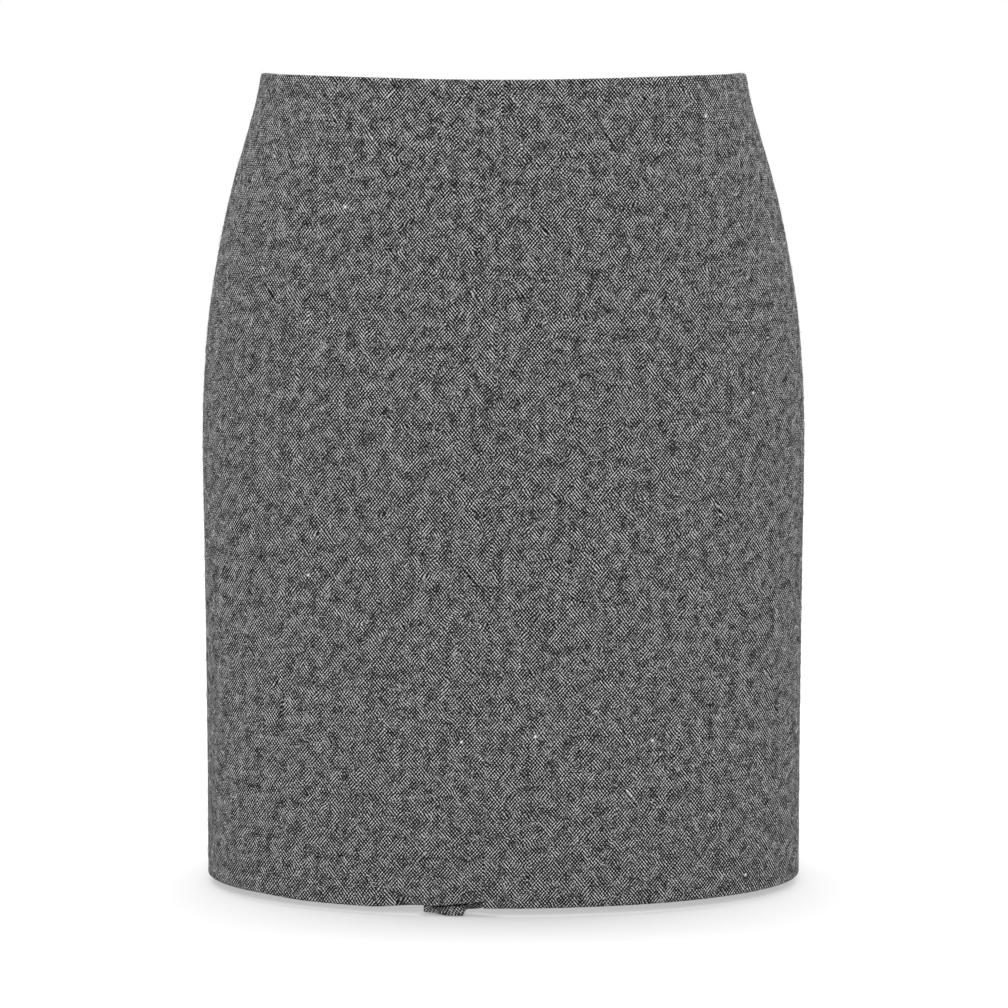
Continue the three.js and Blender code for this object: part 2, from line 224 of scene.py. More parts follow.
def turned_profile():
    """Rows of the strip as (drop, inset) of its outer face and its inner face, and the length of
    cloth from the waist fold to each row. A fold is a half circle of half the wall's width."""
    waist, hem = TURNINGS["waist"], TURNINGS["hem"]
    up, down = waist["wall"] / 2, hem["wall"] / 2
    turn = np.linspace(0, math.pi, FOLD_STEPS)
    plain = np.arange(up, LENGTH - down, ROW_STEP)
    rise = np.linspace(waist["depth"], up, TURNING_ROWS["waist"])[:-1]
    back = np.linspace(LENGTH - down, LENGTH - hem["depth"], TURNING_ROWS["hem"])[1:]
    faces = []
    for face in (0, CLOTH):
        around_waist = (up - (up - face) * np.sin(turn), up + (up - face) * np.cos(turn))
        around_hem = (
            LENGTH - down + (down - face) * np.sin(turn),
            down - (down - face) * np.cos(turn),
        )
        drop = np.concatenate([rise, around_waist[0], plain[1:], around_hem[0], back])
        inset = np.concatenate([
            np.full(len(rise), waist["wall"] - face),
            around_waist[1],
            np.full(len(plain) - 1, float(face)),
            around_hem[1],
            np.full(len(back), hem["wall"] - face),
        ])
        faces.append((drop, inset))
    steps = np.hypot(np.diff(faces[0][0]), np.diff(faces[0][1]))
    along = np.concatenate([[0], np.cumsum(steps)])
    return faces, along - along[len(rise) + FOLD_STEPS // 2]


profile_faces, profile_length = turned_profile()
print(len(profile_length), "rows,", round(float(np.ptp(profile_length)), 1), "mm of cloth")

# %% [markdown]
# ## From a grid of points to a mesh
#
# Every piece of cloth here is a wall: an outer grid, an inner grid and a rim. The faces are
# counted out with whole arrays. Each point also carries its place in the flat cloth, in metres
# along the weft and the warp, as a UV map, so that the weave follows the cloth round its folds.

# %% Mesh helpers
CLOTH_MAP = "cloth"
SMOOTH_ANGLE = math.radians(50)


def grid_faces(rows, columns):
    """Corner numbers of a grid's faces, turning left round the outward side."""
    r, c = np.meshgrid(np.arange(rows - 1), np.arange(columns - 1), indexing="ij")
    a = (r * columns + c).ravel()
    return np.stack([a, a + columns, a + columns + 1, a + 1], axis=1)


def rim_faces(rows, columns):
    """Faces that join the outer grid's border to the inner grid's."""
    at = np.arange(rows * columns).reshape(rows, columns)
    loop = np.concatenate([at[:-1, 0], at[-1, :-1], at[:0:-1, -1], at[0, :0:-1]])
    ahead = np.roll(loop, -1)
    return np.stack([ahead, loop, loop + rows * columns, ahead + rows * columns], axis=1)


def make_mesh(name, points, faces, flat=None):
    """An object with these points, in millimetres, and faces, and its flat places as a UV map."""
    mesh = bpy.data.meshes.new(name)
    mesh.from_pydata((points * MM).tolist(), [], faces.tolist())
    if flat is not None:
        layer = mesh.uv_layers.new(name=CLOTH_MAP)
        corner = np.empty(len(mesh.loops), int)
        mesh.loops.foreach_get("vertex_index", corner)
        layer.data.foreach_set("uv", (flat[corner] * MM).astype(np.float32).ravel())
    mesh.shade_smooth()
    mesh.set_sharp_from_angle(angle=SMOOTH_ANGLE)
    piece = bpy.data.objects.new(name, mesh)
    bpy.context.scene.collection.objects.link(piece)
    return piece


def make_wall(name, outer, inner, flat):
    """A closed wall between two grids of points."""
    rows, columns = outer.shape[:2]
    count = rows * columns
    sheet = grid_faces(rows, columns)
    faces = np.concatenate([sheet, sheet[:, ::-1] + count, rim_faces(rows, columns)])
    points = np.concatenate([outer.reshape(-1, 3), inner.reshape(-1, 3)])
    flat = flat.reshape(-1, 2)
    return make_mesh(name, points, faces, np.concatenate([flat, flat]))


def surface_area(piece):
    """Area of a piece's faces in square metres."""
    return sum(face.area for face in piece.data.polygons)


# %% [markdown]
# ## The four panels
#
# Each panel runs from one seam to the next, and its long edges roll in a little where the seam
# pulls them, which is how a sewn seam shows as a soft valley. The front seam leans to the
# wearer's right on the way down, because the skirt hangs slightly turned. The weave runs straight
# along the centre seams, and is cut off at a slant by the side seams.

# %% Panels
FRONT_SEAM_DRIFT = -12.6
SEWN_GAP = 0.005
ZIP_NOTCH = {"half_width": 1.3, "depth": 13.0, "closes_over": 5.0}
SEAM_ROLL = {"depth": 0.5, "width": 2.6}
# Columns of a panel's grid: their distances from a long edge, and how many lie between
EDGE_COLUMNS = np.array([0, 0.35, 0.8, 1.4, 2.1, 3.0])
MIDDLE_COLUMNS = 62
PANEL_WIDTH = 235.0
SEAM_ANGLE = {
    "right_side": lambda drop: np.full_like(drop, -math.pi / 2),
    "left_side": lambda drop: np.full_like(drop, math.pi / 2),
    "front": lambda drop: angle_at(FRONT_SEAM_DRIFT * np.clip(drop, 0, LENGTH) / LENGTH, drop),
    "back_from_right": lambda drop: np.full_like(drop, -math.pi),
    "back_from_left": lambda drop: np.full_like(drop, math.pi),
}
# Each panel's two seams, the one that lies along the straight grain, its place on the bolt, and
# whether its hem lifts at the vent
PANELS = {
    "right_front_panel": {
        "seams": ("right_side", "front"), "grain": 1, "bolt": (0, 0), "lifted": True,
    },
    "left_front_panel": {
        "seams": ("front", "left_side"), "grain": 0, "bolt": (600.4, 0), "lifted": False,
    },
    "left_back_panel": {
        "seams": ("left_side", "back_from_left"), "grain": 1, "bolt": (1500.9, 31.3),
        "lifted": False,
    },
    "right_back_panel": {
        "seams": ("back_from_right", "right_side"), "grain": 0, "bolt": (2100.2, 57.1),
        "lifted": False,
    },
}


def half_gap(seam, drop):
    """Half the space between two panels: a thread's breadth, or the zip's notch at the top."""
    if not seam.startswith("back"):
        return np.full_like(drop, SEWN_GAP)
    start = ZIP_NOTCH["depth"]
    closed = smooth_step(drop, start, start + ZIP_NOTCH["closes_over"])
    return SEWN_GAP + (ZIP_NOTCH["half_width"] - SEWN_GAP) * (1 - closed)


def ring_speed(angle, drop):
    """Millimetres along the ring for each radian."""
    depth = np.where(np.cos(angle) > 0, size_at(drop, "front_depth"), size_at(drop, "back_depth"))
    return np.hypot(size_at(drop, "half_width") * np.cos(angle), depth * np.sin(angle))


def seam_roll(away):
    """How far in the cloth rolls at that distance from a seam: the roll's depth times
    (1 - distance / width) squared."""
    return SEAM_ROLL["depth"] * np.clip(1 - away / SEAM_ROLL["width"], 0, 1) ** 2


def panel_shares():
    """Places across a panel from 0 to 1, close together at its two long edges."""
    edge = EDGE_COLUMNS / PANEL_WIDTH
    middle = np.linspace(edge[-1], 1 - edge[-1], MIDDLE_COLUMNS)
    return np.concatenate([edge[:-1], middle, 1 - edge[-2::-1]])


def panel_face(cut, drop, inset):
    """Points of one face of a panel: angles run from seam to seam, and the cloth rolls in next
    to each."""
    shares = panel_shares()
    angles = []
    for seam, side in zip(cut["seams"], (1, -1)):
        angle = SEAM_ANGLE[seam](drop)
        angles.append(angle + side * half_gap(seam, drop) / ring_speed(angle, drop))
    start, end = (a[:, None] for a in angles)
    to_seam = np.minimum(shares, 1 - shares) * PANEL_WIDTH
    angle = start + (end - start) * shares
    depth = inset[:, None] + seam_roll(to_seam)
    return cloth_point(angle, drop[:, None], depth, cut["lifted"])


def flat_places(points, along, grain, bolt):
    """Where each point lies in the flat cloth: across from the grain line, and along it."""
    steps = np.linalg.norm(np.diff(points, axis=1), axis=2)
    across = np.concatenate([np.zeros((len(points), 1)), np.cumsum(steps, axis=1)], axis=1)
    across = across - (across[:, -1:] if grain else 0)
    down = np.broadcast_to(along[:, None], across.shape)
    return np.stack([across + bolt[0], down + bolt[1]], axis=-1)


def make_panel(name):
    """A panel: a wall between the turned profile's two faces, carried from seam to seam."""
    cut = PANELS[name]
    (outer_drop, outer_inset), (inner_drop, inner_inset) = profile_faces
    outer = panel_face(cut, outer_drop, outer_inset)
    inner = panel_face(cut, inner_drop, inner_inset)
    flat = flat_places(outer, profile_length, cut["grain"], cut["bolt"])
    return make_wall(name + "_cloth", outer, inner, flat)


panels = {name: make_panel(name) for name in PANELS}
for name, piece in panels.items():
    area = round(surface_area(piece) / 2, 4)
    print(name, len(piece.data.polygons), "faces,", area, "m2 of cloth")

# %% [markdown]
# ## Seam allowances
#
# Inside, each seam is pressed open: 12 mm of each panel turn back flat against it. They are cut on
# with the panels. A panel's grid could go on round its seam, but its rows already carry the two
# turnings, so the pair of allowances is one thin strip behind the seam, with a groove where they
# part. It ends at the hem's turning, or above the vent, and at the back starts below the zip.

# %% Seam allowances
ALLOWANCE = {"wall": 0.9, "lies_in": 0.05, "groove": 0.35, "groove_width": 0.5, "rows": 90}
ALLOWANCE_HALF = np.array([0.25, 0.5, 1, 2, 3.5, 6, 9, 12])
ALLOWANCE_COLUMNS = np.concatenate([-ALLOWANCE_HALF[::-1], [0], ALLOWANCE_HALF])
# Drops that clear the waist's turning, the zip, the vent and the hem's turning
UNDER_TURNING, UNDER_ZIP = 13.5, 196
OVER_VENT, OVER_HEM = LENGTH - 151, LENGTH - 41.5
ALLOWANCES = {
    "right_side": {"on": "right_front_panel", "from": UNDER_TURNING, "to": OVER_HEM},
    "front": {"on": "right_front_panel", "from": UNDER_TURNING, "to": OVER_VENT},
    "left_side": {"on": "left_back_panel", "from": UNDER_TURNING, "to": OVER_HEM},
    "back_from_left": {"on": "left_back_panel", "from": UNDER_ZIP, "to": OVER_HEM},
}


def make_allowances(seam):
    """The pair of allowances behind a seam: the groove's depth falls from the full one at
    the seam to nothing at the groove's edge."""
    strip = ALLOWANCES[seam]
    drop = np.linspace(strip["from"], strip["to"], ALLOWANCE["rows"])
    middle = SEAM_ANGLE[seam](drop)
    angle = middle[:, None] + ALLOWANCE_COLUMNS / ring_speed(middle, drop)[:, None]
    away = np.abs(ALLOWANCE_COLUMNS)
    groove = ALLOWANCE["groove"] * np.clip(1 - away / ALLOWANCE["groove_width"], 0, 1)
    depth = CLOTH + ALLOWANCE["lies_in"]
    outer = cloth_point(angle, drop[:, None], depth + seam_roll(away))
    inner = cloth_point(angle, drop[:, None], depth + ALLOWANCE["wall"] - groove)
    return make_wall(seam + "_allowances", outer, inner, flat_places(outer, drop, 0, (0, 0)))


allowances = {seam: make_allowances(seam) for seam in ALLOWANCES}
print("seam allowances:", sorted(allowances))

# %% [markdown]
# ## The vent's underlap
#
# Under the right front lies a strip that is cut on with the left front. Its lower end is pressed
# back into a recess behind the lifted hem and comes out again as a lip, which hangs a few
# millimetres below the hem. One could bend a flat strip with a lattice, but the bend changes all
# along the hem, so a table gives its depths for places across the strip and a second one the
# shape of the bend. Towards the wearer's left it lies deeper, behind a crease.

# %% Underlap
VENT = {
    "height": 150.0, "wall": 1.2, "inset": 3.5,
    "columns": 110, "plain_rows": 15, "steps": 4, "bolt": (3041.0, 371.0),
}
# For places across it: how far it hangs below the hem, how much higher its bend lies, and the
# insets of its recess and its lip
UNDERLAP = {
    "x": [
        -49, -47, -43, -40, -37, -35, -32, -28, -24.6,
        -22.9, -21, -18, -15.8, -14, -13, -9, -4,
    ],
    "hangs": [4.0, 4.1, 4.1, 4.3, 4.5, 4.7, 4.7, 4.7, 4.6, 1.4, 1.3, 1.3, 1.2, 0.9, 0.5, -1, -1],
    "raised": [-1.2, -1.2, -1, -0.7, -0.4, -0.2, 0, 0, 0.2, 1.0, 1.3, 1.3, 1.3, 1.3, 1.3, 1.3, 1.3],
    "recess": [8, 8, 8.6, 9, 9.3, 9.3, 9.3, 9.3, 9.3, 9.3, 9.3, 9, 8.6, 8, 7.2, 5.5, 5.5],
    "lip": [6.0, 6.0, 5.4, 4.4, 3.2, 2.2, 1.9, 1.9, 1.9, 4.2, 6.0, 6.6, 6.6, 6.6, 6.4, 5.5, 5.5],
}
# Heights above the hem, with the shares of the way back to the recess and out to the lip
UNDERLAP_BEND = {
    "above": [14, 10, 6.5, 3.5, 1.9, 1.15, 0.75, 0.4],
    "back": [0, 0.35, 0.82, 1, 1, 1, 1, 1],
    "out": [0, 0, 0, 0, 0.1, 0.38, 0.72, 0.95],
}
UNDERLAP_LIP = [0.4, 0.75, 1]


def underlap_rows(hangs, raised, recess, lip):
    """Inset and drop down one column: plain, then back by the bend's shares and out to the lip,
    with a cubic from each given row to the next."""
    above, back, out = (np.array(UNDERLAP_BEND[k], float) for k in ("above", "back", "out"))
    bend_inset = (VENT["inset"] + (recess - VENT["inset"]) * back) * (1 - out) + lip * out
    bend_drop = LENGTH - above - raised
    plain = np.linspace(LENGTH - VENT["height"], bend_drop[0], VENT["plain_rows"] + 1)[:-1]
    end = bend_drop[-1] + (LENGTH + hangs - bend_drop[-1]) * np.array(UNDERLAP_LIP)
    inset = np.concatenate([np.full(len(plain), VENT["inset"]), bend_inset, np.full(len(end), lip)])
    drop = np.concatenate([plain, bend_drop, end])
    rows = np.arange(len(drop), dtype=float)
    finer = np.linspace(0, rows[-1], len(plain) + (len(rows) - len(plain)) * VENT["steps"])
    return smooth_through(finer, rows, inset), smooth_through(finer, rows, drop)


def moved_inwards(inset, drop, wall):
    """The same columns moved in by the wall, square to each step of inset and drop."""
    step_in, step_down = np.diff(inset, axis=0), np.diff(drop, axis=0)
    square = np.stack([step_down, -step_in]) / np.hypot(step_in, step_down)
    above = np.concatenate([square[:, :1], square], axis=1)
    below = np.concatenate([square, square[:, -1:]], axis=1)
    mitre = (above + below) / (1 + (above * below).sum(axis=0))
    return inset + mitre[0] * wall, drop + mitre[1] * wall


def make_underlap():
    """The underlap as a wall, one column of rows for each place across it."""
    x = np.linspace(UNDERLAP["x"][0], UNDERLAP["x"][-1], VENT["columns"])
    sizes = [np.interp(x, UNDERLAP["x"], UNDERLAP[k]) for k in ("hangs", "raised", "recess", "lip")]
    inset, drop = np.stack([underlap_rows(*size) for size in zip(*sizes)], axis=-1)
    sides = []
    for wall in (0, VENT["wall"]):
        depth, down = moved_inwards(inset, drop, wall)
        sides.append(cloth_point(angle_at(x[None, :], down), down, depth))
    middle = VENT["columns"] // 2
    steps = np.hypot(np.diff(inset[:, middle]), np.diff(drop[:, middle]))
    along = np.concatenate([[0], np.cumsum(steps)])
    print("underlap: cut", round(float(along[-1]), 1), "mm long")
    flat = flat_places(sides[0], along, 1, VENT["bolt"])
    return make_wall("vent_underlap_cloth", *sides, flat)


underlap = make_underlap()
print("underlap:", round(surface_area(underlap) / 2 * 1e4, 1), "cm2 of cloth")

# %% [markdown]
# ## The zip's tapes and coil
#
# A concealed zip shows on the outside only as its pull. Inside, two woven tapes lie on the seam
# allowance and carry a nylon coil between them. The tapes are walls like the panels, and the coil
# is one small loop of monofilament for each tooth, repeated down both sides and set half a step
# apart, as closed teeth are.

# %% Zip
TAPE = {
    "top": 3.0, "bottom": 195.0, "wall": 0.6, "start": 0.9, "end": 13.0, "lies_in": 0.3,
    "roll_room": 0.6, "off_turning": 14.0, "rows": 60, "columns": 12,
}
COIL = {
    "top": 17.0, "bottom": 190.0, "step": 1.5, "inset": 3.75,
    "reach": 1.5, "overlap": 0.5, "bend": 0.5, "leg": 0.45, "thread": 0.3,
    "bend_points": 7, "sides": 6,
}


def tape_bed(drop):
    """How far in the bed of the tapes lies: at the wall of the waist's turning, and below it at
    the cloth where a seam rolls in."""
    waist = TURNINGS["waist"]
    below = smooth_step(drop, waist["depth"], TAPE["off_turning"])
    cloth = CLOTH + TAPE["roll_room"]
    return cloth + (waist["wall"] - CLOTH - TAPE["roll_room"]) * (1 - below)


def make_tape(name, side):
    """A tape as a wall, on the left of the seam where the side is 1, on the right for -1."""
    drop = np.linspace(TAPE["top"], TAPE["bottom"], TAPE["rows"])[:, None]
    away = np.linspace(TAPE["start"], TAPE["end"], TAPE["columns"])[None, :]
    away = away if side < 0 else away[:, ::-1]
    angle = side * (math.pi - angle_at(away, drop))
    depth = tape_bed(drop) + TAPE["lies_in"]
    outer = cloth_point(angle, drop, depth)
    inner = cloth_point(angle, drop, depth + TAPE["wall"])
    flat = np.stack(np.broadcast_arrays(away, drop), axis=-1)
    return make_wall(name + "_cloth", outer, inner, flat)


def tube(path, radius, sides):
    """Points and faces of a tube round a level path: circles of that radius across it, in the
    plane of two directions at right angles to the path."""
    ahead = np.gradient(path, axis=0)
    ahead = ahead / np.linalg.norm(ahead, axis=1, keepdims=True)
    across = np.cross(ahead, [0, 0, 1.0])
    across = across / np.linalg.norm(across, axis=1, keepdims=True)
    over = np.cross(ahead, across)
    turn = np.linspace(0, 2 * math.pi, sides, endpoint=False)[None, :, None]
    rings = path[:, None] + radius * (np.cos(turn) * across[:, None] + np.sin(turn) * over[:, None])
    i = np.arange((len(path) - 1) * sides)
    j = i - i % sides + (i + 1) % sides
    faces = np.stack([i, i + sides, j + sides, j], axis=1)
    return rings.reshape(-1, 3), faces


def repeat(copies, faces):
    """One mesh's points and faces from many copies of a shape: an array of points for each."""
    shift = (np.arange(len(copies)) * copies.shape[1])[:, None, None]
    return copies.reshape(-1, 3), (faces[None] + shift).reshape(-1, faces.shape[1])


def make_coil():
    """Each tooth is a U of thread that lies across the seam: out from the middle line, round and
    back, with one leg deeper in than the other. The teeth of the two sides take turns."""
    turn = np.linspace(-math.pi / 2, math.pi / 2, COIL["bend_points"])
    reach = COIL["reach"] - COIL["bend"] + COIL["bend"] * np.cos(turn)
    bend = np.stack([reach, COIL["leg"] * np.sin(turn), np.zeros_like(turn)], axis=1)
    ends = np.array([[-COIL["overlap"], side * COIL["leg"], 0] for side in (-1, 1)])
    path = np.concatenate([ends[:1], bend, ends[1:]])
    tooth, faces = tube(path, COIL["thread"], COIL["sides"])
    drops = np.arange(COIL["top"], COIL["bottom"], COIL["step"])
    sides = []
    for side in (1, -1):
        middle = drops + (0 if side > 0 else COIL["step"] / 2)
        drop = middle[:, None] + tooth[None, :, 2]
        angle = math.pi - angle_at(side * tooth[None, :, 0], drop)
        placed = cloth_point(angle, drop, COIL["inset"] + tooth[None, :, 1])
        sides.append(repeat(placed, faces if side > 0 else faces[:, ::-1]))
    (left, left_faces), (right, right_faces) = sides
    faces = np.concatenate([left_faces, right_faces + len(left)])
    return make_mesh("zip_coil", np.concatenate([left, right]), faces)


tape_sides = {"left_zip_tape": 1, "right_zip_tape": -1}
tapes = {name: make_tape(name, side) for name, side in tape_sides.items()}
coil = make_coil()
print("coil:", len(coil.data.polygons), "faces")

# %% [markdown]
# ## Slider and pull
#
# The slider and its pull are small zinc castings, and castings have no sharp edges. The frame
# already holds their exact shapes, so a copy of each is welded at its shared points and gets a
# fine bevel, which catches a line of light along every edge.

# %% Slider and pull
CASTING = {"weld": 0.01, "edge": 0.18, "edge_steps": 3, "sharp_over": 25}


def soften_casting(node):
    """A copy of a node with its doubles merged and its edges bevelled."""
    piece = bpy.data.objects.new(node + "_cast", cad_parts[node].data.copy())
    bpy.context.scene.collection.objects.link(piece)
    piece.data.materials.clear()
    weld = piece.modifiers.new("weld", "WELD")
    weld.merge_threshold = CASTING["weld"] * MM
    bevel = piece.modifiers.new("soft edges", "BEVEL")
    bevel.width = CASTING["edge"] * MM
    bevel.segments = CASTING["edge_steps"]
    bevel.limit_method = "ANGLE"
    bevel.angle_limit = math.radians(CASTING["sharp_over"])
    piece.data.shade_flat()
    return piece


castings = {node: soften_casting(node) for node in ("zip_slider", "zip_pull_tab")}
print("castings:", sorted(castings))

# %% [markdown]
# ## The wool's surface fibres
#
# Wool tweed isn't shorn smooth: short curled fibres stand off it, and they make the outline soft
# and draw fine light squiggles near the sides, where one looks along the surface. Hair particles
# would do it, but the model is exported as meshes, so each fibre is a thin three-sided tube on a
# curled path. Single ones are 0.03 mm thick; these are drawn thicker, as small clumps, to show.

# %% Surface fibres
FIBRES = {
    "count": 6400, "length": (2.5, 7.5), "radius": 0.11, "tip": 0.4, "curl": 1.9,
    "root": 0.1, "from_edge": 2, "steps": 6, "sides": 3, "seed": 11,
}
# How far fibres stand off: a gamma draw, times a part of half a wave that is sunk a little
FIBRE_STAND = {"shape": 2.0, "scale": 0.2, "start": 0.15, "over": 0.75, "sunk": 0.25}
FIBRE_SIDES = {"front_fibres": (-0.5, 0.5), "back_fibres": (0.5, 1.5)}


NORMAL_STEP = {"angle": 0.002, "drop": 0.3}


def cloth_normal(angle, drop):
    """Outward direction of the cloth, from the cross product of two short steps along it."""
    here = cloth_point(angle, drop, 0)
    around = cloth_point(angle + NORMAL_STEP["angle"], drop, 0) - here
    down = cloth_point(angle, drop + NORMAL_STEP["drop"], 0) - here
    normal = np.cross(down, around)
    return normal / np.linalg.norm(normal, axis=1, keepdims=True)


def fibre_paths(rng, half_turns):
    """A fibre starts just inside the cloth, leaves it at a low slant, and curls: its direction
    turns steadily in the plane of the cloth while its height follows half a wave."""
    count, steps = FIBRES["count"], FIBRES["steps"]
    angle = math.pi * rng.uniform(*half_turns, count)
    drop = rng.uniform(FIBRES["from_edge"], LENGTH - FIBRES["from_edge"], count)
    root = cloth_point(angle, drop, FIBRES["root"])
    normal = cloth_normal(angle, drop)
    down = np.cross(normal, np.cross([0, 0, -1.0], normal))
    down = down / np.linalg.norm(down, axis=1, keepdims=True)
    around = np.cross(normal, down)
    step = rng.uniform(*FIBRES["length"], count)[:, None] / (steps - 1)
    heading = rng.uniform(0, 2 * math.pi, count)[:, None]
    bend = rng.normal(0, FIBRES["curl"], count)[:, None]
    stand = rng.gamma(FIBRE_STAND["shape"], FIBRE_STAND["scale"], count)[:, None]
    s = np.linspace(0, 1, steps)[None, :]
    sideways = np.cumsum(np.cos(heading + bend * s), axis=1) * step
    downwards = np.cumsum(np.sin(heading + bend * s), axis=1) * step
    wave = np.sin(math.pi * (FIBRE_STAND["start"] + FIBRE_STAND["over"] * s))
    height = stand * (wave - FIBRE_STAND["sunk"])
    moves = ((sideways, around), (downwards, down), (height, normal))
    return root[:, None] + sum(m[..., None] * way[:, None] for m, way in moves), normal


def make_fibres(name, half_turns, seed):
    """All fibres of one half of the skirt as one mesh, each a tube that thins to its tip."""
    path, normal = fibre_paths(np.random.default_rng(seed), half_turns)
    ahead = np.gradient(path, axis=1)
    ahead = ahead / np.linalg.norm(ahead, axis=2, keepdims=True)
    side = np.cross(ahead, normal[:, None])
    side = side / np.linalg.norm(side, axis=2, keepdims=True)
    top = np.cross(side, ahead)
    count, steps = path.shape[:2]
    sides = FIBRES["sides"]
    thin = FIBRES["radius"] * np.linspace(1, FIBRES["tip"], steps)[None, :, None]
    turns = np.arange(sides) * 2 * math.pi / sides
    rings = [path + thin * (math.cos(t) * side + math.sin(t) * top) for t in turns]
    points = np.stack(rings, axis=2).reshape(count, steps * sides, 3)
    i = np.arange((steps - 1) * sides)
    j = i - i % sides + (i + 1) % sides
    return make_mesh(name, *repeat(points, np.stack([i, j, j + sides, i + sides], axis=1)))


fibres = [
    make_fibres(name, half_turns, FIBRES["seed"] + n)
    for n, (name, half_turns) in enumerate(FIBRE_SIDES.items())
]
print("fibres:", sum(len(piece.data.polygons) for piece in fibres), "faces")

# %% [markdown]
# ## How a finish is written
#
# A node tree is easier to read as text when one helper adds a node, sets it and joins it. Colours
# are written as sRGB hex values, as on a shade card, and turned to the linear light that the
# shader counts in.

# %% Material helpers
def linear(hex_colour):
    """An sRGB hex colour as linear red, green, blue and alpha."""
    srgb = np.array([int(hex_colour[i : i + 2], 16) for i in (1, 3, 5)]) / 255
    value = np.where(srgb <= 0.04045, srgb / 12.92, ((srgb + 0.055) / 1.055) ** 2.4)
    return (*value.tolist(), 1.0)


def add(tree, kind, inputs=None, **settings):
    """A node of that kind with its settings. An input takes a value, or the output it joins."""
    node = tree.nodes.new("ShaderNode" + kind)
    for name, value in settings.items():
        setattr(node, name, value)
    for name, value in (inputs or {}).items():
        if isinstance(value, bpy.types.NodeSocket):
            tree.links.new(value, node.inputs[name])
        else:
            node.inputs[name].default_value = value
    return node


def calculate(tree, operation, *values, **settings):
    """The result of a math node that does this to the values."""
    return add(tree, "Math", dict(enumerate(values)), operation=operation, **settings).outputs[0]


def rescaled(tree, value, limits, curve="LINEAR"):
    """The value with one range of numbers stretched to another. A limit not given is 0 or 1."""
    return add(tree, "MapRange", {"Value": value, **limits}, interpolation_type=curve).outputs[0]


def mixed(tree, share, first, second):
    """The first colour where the share is 0, and the second where it is 1."""
    return add(tree, "Mix", {0: share, 6: first, 7: second}, data_type="RGBA").outputs[2]


def solid_noise(tree, size, detail=2.0):
    """Noise in space whose spots are about that many millimetres across."""
    place = add(tree, "TexCoord").outputs["Object"]
    inputs = {"Vector": place, "Scale": 1 / (size * MM), "Detail": detail}
    return add(tree, "TexNoise", inputs).outputs["Fac"]


def new_material(name):
    """A material with an empty node tree, and the tree."""
    material = bpy.data.materials.new(name)
    material.use_nodes = True
    material.node_tree.nodes.clear()
    return material, material.node_tree


def shade(tree, inputs):
    """Closes a tree with a principled shader that has these inputs."""
    shader = add(tree, "BsdfPrincipled", inputs)
    add(tree, "OutputMaterial", {"Surface": shader.outputs[0]})


# %% [markdown]
# ## Salt-and-pepper wool tweed
#
# The cloth is woven from one black and one off-white woollen yarn, so that from a step away it is
# a fine check of light and dark dots, 1.02 mm by 1.22 mm apart. Two slanting waves make such a
# check: where both are equally strong the dots stand in a square, and where one is stronger they
# run together into slanting lines. In real tweed the yarns are uneven. So the share of each wave
# wanders, the lines slip out of step from one small patch to the next, the check fades into a
# soft slub where they do, and broader dark and light places break it up.

# %% Weave of the tweed
WARP_STEP = 1.02
WEFT_STEP = 1.22
# The tone is middle plus check times the weave's check, and its power of contrast is the share
# of white.
TWEED = {
    "black": "#0c0c0d", "white": "#bfbfbf", "nep": "#ffffff",
    "check": 0.87, "middle": 0.272, "lift": 0.30, "contrast": 2.6,
}
# Slips between patches, in threads, and how the check fades within a share of a patch's size
SLIP = {"patch": 13.0, "threads": 0.62, "blend": 0.3, "fades_within": 0.14, "faded": 0.5}
# Values that wander over the cloth: the first wave's share, and the strength of the check
LEAN = {"size": 6.0, "least": 0.04, "most": 0.88}
STRENGTH = {"size": 7.5, "least": 0.75, "most": 1.25}
WANDER_DETAIL = 0.5
# One light speck in each cell of the cloth: the cells' size, the speck's and how much it covers
NEP = {"apart": 160.0, "size": 1.4, "cover": 0.7}
# Unevenness of the yarn: size in millimetres, how many finer layers it has, and strength
UNEVEN = {
    "mottle": {"size": 7.5, "detail": 1.0, "strength": 0.48},
    "slub": {"size": 3.8, "detail": 0.0, "strength": 0.25},
    "loop": {"size": 1.12, "detail": 1.0, "strength": 1.25},
}


def flat_noise(tree, place, size, detail):
    """Noise in the plane of the cloth whose spots are about that many millimetres across."""
    inputs = {"Vector": place, "Scale": 1 / (size * MM), "Detail": detail}
    return add(tree, "TexNoise", inputs, noise_dimensions="2D").outputs["Fac"]


def wandering(tree, place, wander):
    """A value that wanders from least to most over that size, mostly near the middle."""
    spots = flat_noise(tree, place, wander["size"], WANDER_DETAIL)
    limits = {"To Min": wander["least"], "To Max": wander["most"]}
    return rescaled(tree, spots, limits, "SMOOTHSTEP")


def slipped_threads(tree, place):
    steps = (1 / (WARP_STEP * MM), 1 / (WEFT_STEP * MM), 0)
    half = (0.5, 0.5, 0.5)
    count = add(tree, "VectorMath", {0: place, 1: steps}, operation="MULTIPLY").outputs[0]
    patches = {"Vector": place, "Scale": 1 / (SLIP["patch"] * MM)}
    slip = add(
        tree, "TexVoronoi", {**patches, "Smoothness": SLIP["blend"]},
        voronoi_dimensions="2D", feature="SMOOTH_F1",
    ).outputs["Color"]
    slip = add(tree, "VectorMath", {0: slip, 1: half}, operation="SUBTRACT").outputs[0]
    reach = {0: slip, "Scale": 2 * SLIP["threads"]}
    slip = add(tree, "VectorMath", reach, operation="SCALE").outputs[0]
    threads = add(tree, "VectorMath", {0: count, 1: slip}, operation="ADD").outputs[0]
    edge = add(
        tree, "TexVoronoi", patches, voronoi_dimensions="2D", feature="DISTANCE_TO_EDGE",
    ).outputs["Distance"]
    limits = {"From Max": SLIP["fades_within"], "To Min": SLIP["faded"]}
    clear = rescaled(tree, edge, limits, "SMOOTHSTEP")
    return add(tree, "SeparateXYZ", {0: threads}).outputs, clear


